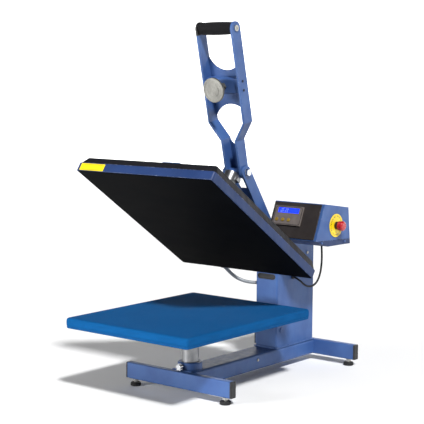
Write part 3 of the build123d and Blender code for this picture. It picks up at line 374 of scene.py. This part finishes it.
# ---- Base, column, arm, handle and linkage: mild steel in a mid-blue baked paint, with painted
# weld beads where the tubes and plates meet.
def paint(name, base, light, roughness, metal=0.0, orange_peel=0.05, gloss=0.12):
    """Baked paint: fine orange peel, faint handling marks, and lighter rubbed edges."""
    made, tree, bsdf, mm = start(name, Metallic=metal, Coat_Weight=gloss, Coat_Roughness=0.3,
                                 Specular_IOR_Level=0.36)
    clouds = between(tree, grain(tree, mm, 60.0), 0.35, 0.65, 0.0, 1.0)
    tone = mixed(tree, clouds, colour(base), colour(light))
    soft = rounded_edges(tree, 1.6)
    true = add(tree, "NewGeometry").outputs["Normal"]
    edge = add(tree, "VectorMath", {"operation": "DOT_PRODUCT"}, i0=soft, i1=true).outputs["Value"]
    rubbed = between(tree, edge, 0.97, 0.80, 0.0, 0.55)
    scuffs = between(tree, grain(tree, mm, 9.0, 6.0), 0.50, 0.66, 0.0, 1.0)
    amount = add(tree, "Math", {"operation": "MULTIPLY"}, i0=rubbed, i1=scuffs).outputs[0]
    tree.links.new(mixed(tree, amount, tone, colour("#b9c6da")), bsdf.inputs["Base Color"])
    marks = grain(tree, mm, 14.0, 5.0, (1.0, 1.0, 0.3))
    tree.links.new(between(tree, marks, 0.3, 0.7, roughness - 0.08, roughness + 0.12), bsdf.inputs["Roughness"])
    bump = add(tree, "Bump", Distance=orange_peel / 1000, Height=grain(tree, mm, 1.6), Normal=soft)
    tree.links.new(bump.outputs[0], bsdf.inputs["Normal"])
    return made


def wearing(material, *names):
    """Gives CAD nodes a finish."""
    for name in names:
        slots = nodes[name].material_slots
        if not slots:
            nodes[name].data.materials.append(material)
        for slot in slots:
            slot.link = "OBJECT"
            slot.material = material


blue = paint("blue_paint", "#37558c", "#3f6098", 0.44, gloss=0.04)
wearing(blue, "front_foot_tube", "rear_foot_tube", "spine_tube", "post_socket", "column_shell",
        "box_bracket", "arm_plates", "arm_web", "magnet_bracket", "handle_right_bar", "cross_plate",
        "handle_web", "cross_trough", "toggle_foot", "toggle_link", "box_cover", "pad_plate")


def weld(name, points, radius):
    """A painted weld bead on the frame: a tube with the overlapping scales of a weld."""
    rings_per_scale = 4
    rings = tube_rings(resample(points, 0.0006),
                       lambda n: radius * (0.82 + 0.18 * ((n % rings_per_scale) / rings_per_scale)), 10)
    piece(name, *loft(rings), blue, "frame", "blue_paint")


weld("weld_front_foot", [at(-31, -32.0, 60.4), at(31, -32.0, 60.4)], 0.0022)
weld("weld_rear_foot", [at(-31, 507.2, 60.4), at(31, 507.2, 60.4)], 0.0022)
for side, hand in ((-1, "left"), (1, "right")):
    weld(f"weld_front_foot_{hand}", [at(side * 38.2, -32.4, 54), at(side * 38.2, -32.4, 26)], 0.0020)
    weld(f"weld_rear_foot_{hand}", [at(side * 38.2, 507.6, 54), at(side * 38.2, 507.6, 26)], 0.0020)
    weld(f"weld_column_{hand}", [at(side * 36.6, 336, 64.3), at(side * 36.6, 498, 64.3)], 0.0014)
weld("weld_column_front", [at(-30, 327.2, 64.3), at(30, 327.2, 64.3)], 0.0020)
round_socket = [math.radians(6 * n) for n in range(61)]
weld("weld_socket", [at(32.2 * math.cos(a), 32.2 * math.sin(a), 61.4) for a in round_socket], 0.0018)


# ---- Left handle bar: the same paint, with its round top end dipped in black rubber. The dip
# starts 368 mm up the bar from the pivot bolt.
def drawn_over(material):
    """A finished material's tree, shader, place in millimetres and present colour."""
    tree = material.node_tree
    bsdf = tree.nodes["Principled BSDF"]
    return tree, bsdf, in_mm(tree), bsdf.inputs["Base Color"].links[0].from_socket


def along(tree, mm, origin, direction):
    """How far a point is from an origin along a direction, in millimetres."""
    offset = add(tree, "VectorMath", {"operation": "SUBTRACT"}, i0=mm, i1=tuple(origin * 1000)).outputs[0]
    reach = add(tree, "VectorMath", {"operation": "DOT_PRODUCT"}, i0=offset, i1=direction).outputs["Value"]
    return offset, reach


lean = math.radians(13)
dipped = paint("dipped_bar", "#37558c", "#3f6098", 0.44, gloss=0.04)
tree, bsdf, mm, painted = drawn_over(dipped)
up_bar = along(tree, mm, at(0, 191, 557), (0, -math.sin(lean), math.cos(lean)))[1]
rubber_end = add(tree, "Math", {"operation": "GREATER_THAN"}, i0=up_bar, i1=368.0).outputs[0]
tree.links.new(mixed(tree, rubber_end, painted, colour("#121214")), bsdf.inputs["Base Color"])
wearing(dipped, "handle_left_bar")

# ---- Upper platen: the skirt and the control box's tray in the frame's blue darkened as painted shade,
# where they face down; a charcoal powder-coated cover, and the heater's black non-stick face, satin and faintly
# streaked by wiping.
wearing(paint("skirt_painted_shade", "#1b3059", "#213765", 0.48, gloss=0.0), "platen_skirt", "box_tray")
charcoal = paint("charcoal_paint", "#131318", "#19191f", 0.6, orange_peel=0.09, gloss=0.0)
charcoal.node_tree.nodes["Principled BSDF"].inputs["Specular IOR Level"].default_value = 0.2
wearing(charcoal, "top_cover", "gas_spring_tube")
nonstick, tree, bsdf, mm = start("nonstick", Specular_IOR_Level=0.012)
wiped = grain(tree, mm, 60.0, 5.0, (0.5, 1.0, 1.0))
streaks = between(tree, wiped, 0.35, 0.7, 0.0, 1.0)
tree.links.new(mixed(tree, streaks, colour("#040405"), colour("#08090b")), bsdf.inputs["Base Color"])
tree.links.new(between(tree, wiped, 0.3, 0.7, 0.50, 0.58), bsdf.inputs["Roughness"])
wear(tree, bsdf, 0.02, mm, 1.4, 0.8)
wearing(nonstick, "heating_plate")

# ---- Insulation board: pale mineral board between the heater and the cover, matt and fibrous.
# Only its edge could ever be seen.
board, tree, bsdf, mm = start("board", Roughness=0.9)
fibres = mixed(tree, grain(tree, mm, 3.0, 6.0), colour("#8d8578"), colour("#b5ad9f"))
tree.links.new(fibres, bsdf.inputs["Base Color"])
wear(tree, bsdf, 0.3, mm, 2.0)
wearing(board, "insulation_board")

# ---- Label: a plain yellow vinyl label with two dark rules, at the left of the platen's front
# edge. It is laid out on the shut platen and then swung open with it.
yellow_label, tree, bsdf, mm = start("label_yellow", Roughness=0.35, Coat_Weight=0.3)
vinyl = mixed(tree, grain(tree, mm, 8.0), colour("#e8c814"), colour("#f4d81e"))
tree.links.new(vinyl, bsdf.inputs["Base Color"])
wear(tree, bsdf, 0.02, mm, 5.0)
dark_print = moulded("label_rule", "#17150f", "#242117", 0.4, 0.01, 0.5, 0.0)
hinge = at(0, 377, 283)
swing = Matrix.Translation(hinge) @ turned(-34, "X") @ Matrix.Translation(-hinge)


def on_skirt_front(x, up, out):
    """A point on the upper platen's front face, shut, then swung open."""
    return swing @ at(x, -253.5 - out, 205.5 + up)


def sticker(name, x0, x1, u0, u1, out, radius, material):
    """A thin printed film with round corners on the platen's front face."""
    corners = []
    for cx, cu, turn in ((x1 - radius, u1 - radius, 0), (x0 + radius, u1 - radius, 90),
                         (x0 + radius, u0 + radius, 180), (x1 - radius, u0 + radius, 270)):
        for n in range(7):
            a = math.radians(turn + 15 * n)
            corners.append((cx + radius * math.cos(a), cu + radius * math.sin(a)))
    rings = [[on_skirt_front(x, u, h) for x, u in corners] for h in (0.02, out)]
    piece(name, *loft(rings), material, "platen_arm", "key_yellow", False)


sticker("label_plate", -209, -128, 1.8, 21.2, 0.15, 1.5, yellow_label)
sticker("label_rule_top", -203, -134, 18.0, 18.8, 0.20, 0.3, dark_print)
sticker("label_rule_bottom", -203, -134, 4.2, 5.0, 0.20, 0.3, dark_print)


# ---- Posts and plain metal parts: bare aluminium bar with the fine rings of the lathe tool,
# zinc-plated and chromed steel, and bronze bushes.
def wear_metal(name, base, dark, roughness, streak=(1.0, 1.0, 1.0)):
    """Bare metal with fine machining streaks stretched along one axis."""
    made, tree, bsdf, mm = start(name, Metallic=1.0)
    lines = grain(tree, mm, 0.7, 4.0, streak)
    spots = between(tree, grain(tree, mm, 22.0, 5.0), 0.35, 0.7, 0.0, 1.0)
    tree.links.new(mixed(tree, spots, colour(base), colour(dark)), bsdf.inputs["Base Color"])
    tree.links.new(between(tree, lines, 0.3, 0.7, roughness - 0.08, roughness + 0.14), bsdf.inputs["Roughness"])
    bump = add(tree, "Bump", Distance=0.00003, Height=lines, Normal=rounded_edges(tree, 0.4))
    tree.links.new(bump.outputs[0], bsdf.inputs["Normal"])
    return made


lathe_lines = (0.15, 0.15, 3.0)
wearing(wear_metal("turned_aluminium", "#98999b", "#7f8184", 0.34, lathe_lines), "pad_post", "hanger_post")
wearing(wear_metal("zinc_steel", "#b9b8b2", "#96958f", 0.28),
        "cover_screws", "grip_rod", "platen_ferrule", "stop_stem", "holding_magnet")
wearing(wear_metal("chromed_steel", "#d9dbde", "#c2c5c9", 0.12), "clamp_screw", "pivot_bolt", "gas_spring_rod")
wearing(wear_metal("bronze", "#b08a4a", "#8a6a35", 0.35), "hinge_bushes")


# ---- Screws and pins: bright heads where they are bare, and blue or dark ones where they are
# painted over. The handle's low screws are dark, and the gas spring's lower pin is blue.
def part_covered(name, bare_when, limit_mm, cover, **shader):
    """Steel heads, bare above or below a height and of another colour past it."""
    made, tree, bsdf, mm = start(name, **shader)
    height = add(tree, "SeparateXYZ", i0=mm).outputs[2]
    bare = add(tree, "Math", {"operation": bare_when}, i0=height, i1=limit_mm).outputs[0]
    streaks = grain(tree, mm, 5.0, 4.0)
    bright = mixed(tree, streaks, colour("#b9b8b2"), colour("#96958f"))
    tree.links.new(mixed(tree, bare, colour(cover), bright), bsdf.inputs["Base Color"])
    if not shader:
        tree.links.new(bare, bsdf.inputs["Metallic"])
    tree.links.new(between(tree, streaks, 0.3, 0.7, 0.28, 0.44), bsdf.inputs["Roughness"])
    wear(tree, bsdf, 0.02, mm, 0.8, 0.4)
    return made


wearing(part_covered("handle_screw_steel", "GREATER_THAN", 830.0, "#2c3244", Metallic=0.9), "handle_screws")
wearing(part_covered("pin_steel", "GREATER_THAN", 200.0, "#37558c"), "hinge_pins")
wearing(part_covered("frame_screw_steel", "LESS_THAN", 325.0, "#37558c"), "frame_screws")

# ---- Catch disc: face-turned steel, with the lathe's rings round its own axis, which leans
# with the handle.
disc_steel, tree, bsdf, mm = start("disc_steel", Metallic=0.85)
up_handle, to_face = 233, 52
hub = at(0, 191 - up_handle * math.sin(lean) - to_face * math.cos(lean),
         557 + up_handle * math.cos(lean) - to_face * math.sin(lean)) * 1000
centred = add(tree, "VectorMath", {"operation": "SUBTRACT"}, i0=mm, i1=tuple(hub)).outputs[0]
level = add(tree, "VectorRotate", {"rotation_type": "X_AXIS"}, Vector=centred, Angle=-lean).outputs[0]
rings = add(tree, "TexWave", {"wave_type": "RINGS", "rings_direction": "Y"}, i0=level, Scale=0.11,
            Distortion=0.4).outputs[1]
dull = between(tree, grain(tree, mm, 9.0, 5.0), 0.35, 0.7, 0.0, 1.0)
base = mixed(tree, dull, colour("#8f8e89"), colour("#a1a09a"))
cut = between(tree, rings, 0.0, 1.0, 0.0, 0.7)
tree.links.new(mixed(tree, cut, base, colour("#6a6964")), bsdf.inputs["Base Color"])
tree.links.new(between(tree, rings, 0.0, 1.0, 0.30, 0.48), bsdf.inputs["Roughness"])
tree.links.new(add(tree, "Bump", Distance=0.00012, Height=rings).outputs[0], bsdf.inputs["Normal"])
wearing(disc_steel, "catch_disc")

# ---- Handle grip: closed-cell foam sleeve, fuller in the middle, its ends rolled in.
# The last 6 % of its length at each end is the roll.
foam, tree, bsdf, mm = start("grip_foam", Sheen_Weight=0.05, Specular_IOR_Level=0.12)
cells = add(tree, "TexVoronoi", i0=mm, Scale=1.4).outputs[0]
tree.links.new(mixed(tree, cells, colour("#0b0b0c"), colour("#17171a")), bsdf.inputs["Base Color"])
tree.links.new(between(tree, cells, 0.0, 1.0, 0.68, 0.9), bsdf.inputs["Roughness"])
tree.links.new(add(tree, "Bump", Distance=0.00025, Height=cells).outputs[0], bsdf.inputs["Normal"])
low, high = (Vector(v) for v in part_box("grip_foam"))
centre = (low + high) / 2
reach, thick = (high.x - low.x) / 2, (high.z - low.z) / 2
grip_rings = []
for n in range(61):
    t = -1 + 2 * n / 60
    roll = max(0.0, (abs(t) - 0.94) / 0.06)
    r = thick * (1 - 0.085 * t * t) - 0.0045 * (1 - math.sqrt(max(0.0, 1 - roll * roll)))
    grip_rings.append([centre + Vector((t * reach, r * math.cos(a), r * math.sin(a)))
                       for a in (2 * math.pi * k / 48 for k in range(48))])
grip = piece("grip_sleeve", *loft(grip_rings), foam, "handle", "foam")
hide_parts("grip_foam")

# ---- Small mouldings: black plastic end plugs, slot tray, appliance inlet, rocker and cable
# glands, all with the same fine texture.
black = moulded("black_plastic", "#161618", "#232326", 0.5)
wearing(black, "foot_end_caps", "slot_insert", "power_inlet", "power_rocker", "lead_glands")

# ---- Levelling feet: a rubber foot on a zinc-plated stud and nut. The rubber ends 9 mm above
# the floor.
foot_mix, tree, bsdf, mm = start("rubber_and_stud")
height = add(tree, "SeparateXYZ", i0=mm).outputs[2]
metal = add(tree, "Math", {"operation": "GREATER_THAN"}, i0=height, i1=9.02).outputs[0]
rubber = mixed(tree, grain(tree, mm, 1.5, 5.0), colour("#0e0e0f"), colour("#1e1e20"))
tree.links.new(mixed(tree, metal, rubber, colour("#b4b3ae")), bsdf.inputs["Base Color"])
tree.links.new(metal, bsdf.inputs["Metallic"])
tree.links.new(between(tree, metal, 0.0, 1.0, 0.75, 0.3), bsdf.inputs["Roughness"])
wear(tree, bsdf, 0.05, mm, 1.0, 0.4)
wearing(foot_mix, "foot_front_left", "foot_front_right", "foot_rear_left", "foot_rear_right")

# ---- Control box front: a near-black panel, a taupe controller face with a dark outline near
# its edge, and three dull amber keys.
wearing(paint("panel_paint", "#352f2e", "#403a38", 0.45, 0.3), "front_panel")
wearing(moulded("key_amber", "#8f7428", "#a58832", 0.35, 0.02, 0.5), "key_left", "key_middle", "key_right")
foot, crown = Vector((272.8, 379.3)), Vector((312.9, 474.8))
slope = (crown - foot).normalized()
bezel = moulded("bezel_plastic", "#6d6460", "#7a716c", 0.5, 0.05, 0.7)
tree, bsdf, mm, plain = drawn_over(bezel)
from_foot, up_panel = along(tree, mm, at(0, foot.x, foot.y), (0, slope.x, slope.y))
across = add(tree, "SeparateXYZ", i0=from_foot).outputs[0]
flat = add(tree, "CombineXYZ", i0=across, i1=up_panel).outputs[0]
from_middle = add(tree, "VectorMath", {"operation": "SUBTRACT"}, i0=flat, i1=(95, 62.5, 0)).outputs[0]
folded = add(tree, "VectorMath", {"operation": "ABSOLUTE"}, i0=from_middle).outputs[0]
beyond = add(tree, "VectorMath", {"operation": "SUBTRACT"}, i0=folded, i1=(36.5, 18.0, 0)).outputs[0]
beyond = add(tree, "VectorMath", {"operation": "MAXIMUM"}, i0=beyond, i1=(0, 0, 0)).outputs[0]
from_corner = add(tree, "VectorMath", {"operation": "LENGTH"}, i0=beyond).outputs["Value"]
outline = add(tree, "Math", {"operation": "COMPARE"}, i0=from_corner, i1=6.2, i2=0.7).outputs[0]
tree.links.new(mixed(tree, outline, plain, colour("#1d1b1b")), bsdf.inputs["Base Color"])
wearing(bezel, "controller_bezel")


# ---- Display: a lit blue window with columns of dots, and two rows of plain numbers built from
# seven-segment bars.
def lit(tree, bsdf, glow):
    """The same colour for the surface and for its light."""
    tree.links.new(glow, bsdf.inputs["Base Color"])
    tree.links.new(glow, bsdf.inputs["Emission Color"])


display, tree, bsdf, mm = start("display", Roughness=0.12, Coat_Weight=0.6, Emission_Strength=0.8)
dots = add(tree, "TexWave", {"wave_type": "BANDS", "bands_direction": "X"}, i0=mm, Scale=0.45).outputs[1]
lit(tree, bsdf, mixed(tree, between(tree, dots, 0.0, 1.0, 0.0, 0.35), colour("#1a3cff"), colour("#0f28d0")))
wearing(display, "lcd_window")
digit_glow, tree, bsdf, mm = start("display_digits", Roughness=0.4, Emission_Strength=0.35)
lit(tree, bsdf, mixed(tree, grain(tree, mm, 3.0), colour("#8fa6ff"), colour("#a3b6ff")))
bars_of = {"0": "abcdef", "1": "bc", "2": "abged", "5": "afgcd", "8": "abcdefg", " ": ""}
bar_box = {"a": (0.3, 4.0, 2.3, 4.4), "b": (2.3, 2.3, 2.7, 4.1), "c": (2.3, 0.3, 2.7, 2.1),
           "d": (0.3, 0.0, 2.3, 0.4), "e": (0.0, 0.3, 0.4, 2.1), "f": (0.0, 2.3, 0.4, 4.1),
           "g": (0.3, 2.0, 2.3, 2.4)}


def digit_line(name, text, x, s):
    """Numbers on the display, from x across the panel and s up it, 3.6 mm apart."""
    verts, faces = [], []
    for n, sign in enumerate(text):
        for bar in bars_of[sign]:
            x0, u0, x1, u1 = bar_box[bar]
            k = len(verts)
            for h in (5.95, 6.02):
                for px, pu in ((x0, u0), (x1, u0), (x1, u1), (x0, u1)):
                    y = foot.x + slope.x * (s + pu) - slope.y * h
                    z = foot.y + slope.y * (s + pu) + slope.x * h
                    verts.append(at(x + n * 3.6 + px, y, z))
            faces += [(k, k + 1, k + 2, k + 3), (k + 4, k + 5, k + 6, k + 7)]
            faces += [(k + i, k + (i + 1) % 4, k + 4 + (i + 1) % 4, k + 4 + i) for i in range(4)]
    piece(name, verts, faces, digit_glow, "frame", "display", False)


digit_line("digits_top", "180 150", 68, 78.0)
digit_line("digits_bottom", "020 015", 68, 71.5)

# ---- Emergency stop: a yellow disc with a ring of small ticks, a dark barrel that starts 198 mm
# out from the middle, and a glossy red mushroom head.
stop_mix, tree, bsdf, mm = start("stop_disc", Coat_Weight=0.2)
out = add(tree, "SeparateXYZ", i0=mm).outputs[0]
dark = add(tree, "Math", {"operation": "GREATER_THAN"}, i0=out, i1=198.05).outputs[0]
plate = mixed(tree, grain(tree, mm, 10.0, 4.0), colour("#f0cc00"), colour("#fadc16"))
stop_hub = tuple(at(0, 366, 414) * 1000)
from_hub = add(tree, "VectorMath", {"operation": "SUBTRACT"}, i0=mm, i1=stop_hub).outputs[0]
from_hub = add(tree, "VectorMath", {"operation": "MULTIPLY"}, i0=from_hub, i1=(0, 1, 1)).outputs[0]
radius = add(tree, "VectorMath", {"operation": "LENGTH"}, i0=from_hub).outputs["Value"]
band = add(tree, "Math", {"operation": "COMPARE"}, i0=radius, i1=25.0, i2=2.2).outputs[0]
ticks = add(tree, "Math", {"operation": "GREATER_THAN"}, i0=grain(tree, mm, 2.6, 1.0), i1=0.53).outputs[0]
marks = add(tree, "Math", {"operation": "MULTIPLY"}, i0=band, i1=ticks).outputs[0]
plate = mixed(tree, marks, plate, colour("#4a3c08"))
tree.links.new(mixed(tree, dark, plate, colour("#2a1416")), bsdf.inputs["Base Color"])
tree.links.new(between(tree, grain(tree, mm, 6.0), 0.3, 0.7, 0.32, 0.5), bsdf.inputs["Roughness"])
wear(tree, bsdf, 0.02, mm, 0.8, 0.4)
wearing(stop_mix, "stop_plate")
wearing(moulded("stop_red", "#a80f18", "#ba1822", 0.25, 0.01, 0.6, 0.6, Coat_Weight=0.5), "stop_head")
